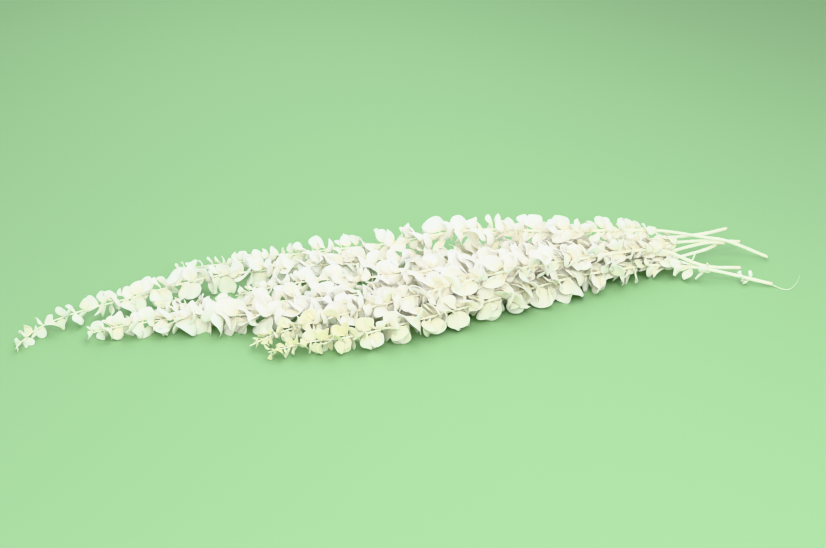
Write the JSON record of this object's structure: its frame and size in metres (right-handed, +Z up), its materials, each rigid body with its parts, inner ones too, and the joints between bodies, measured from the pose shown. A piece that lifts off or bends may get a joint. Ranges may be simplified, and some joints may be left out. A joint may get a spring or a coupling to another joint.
{
  "type": "preserved baby eucalyptus bunch",
  "caption": "Loose bunch of bleached, preserved baby eucalyptus stems with small round paired leaves, lying on its side",
  "frame": {"origin": "on the surface that the bunch lies on, under the middle of its box", "axes": "+X runs along the bunch from the leaf tips to the cut ends, +Z is up"},
  "size_m": [0.7288, 0.2232, 0.0652],
  "materials": {
    "preserved_foliage": "bleached leaves near white with cream shade at their roots, on pale straw-coloured bark, matt"
  },
  "bodies": {
    "root": {"leafy_stem_1": "preserved_foliage", "leafy_stem_2": "preserved_foliage", "leafy_stem_3": "preserved_foliage", "leafy_stem_4": "preserved_foliage", "leafy_stem_5": "preserved_foliage", "leafy_stem_6": "preserved_foliage", "leafy_stem_7": "preserved_foliage"}
  },
  "joints": []
}
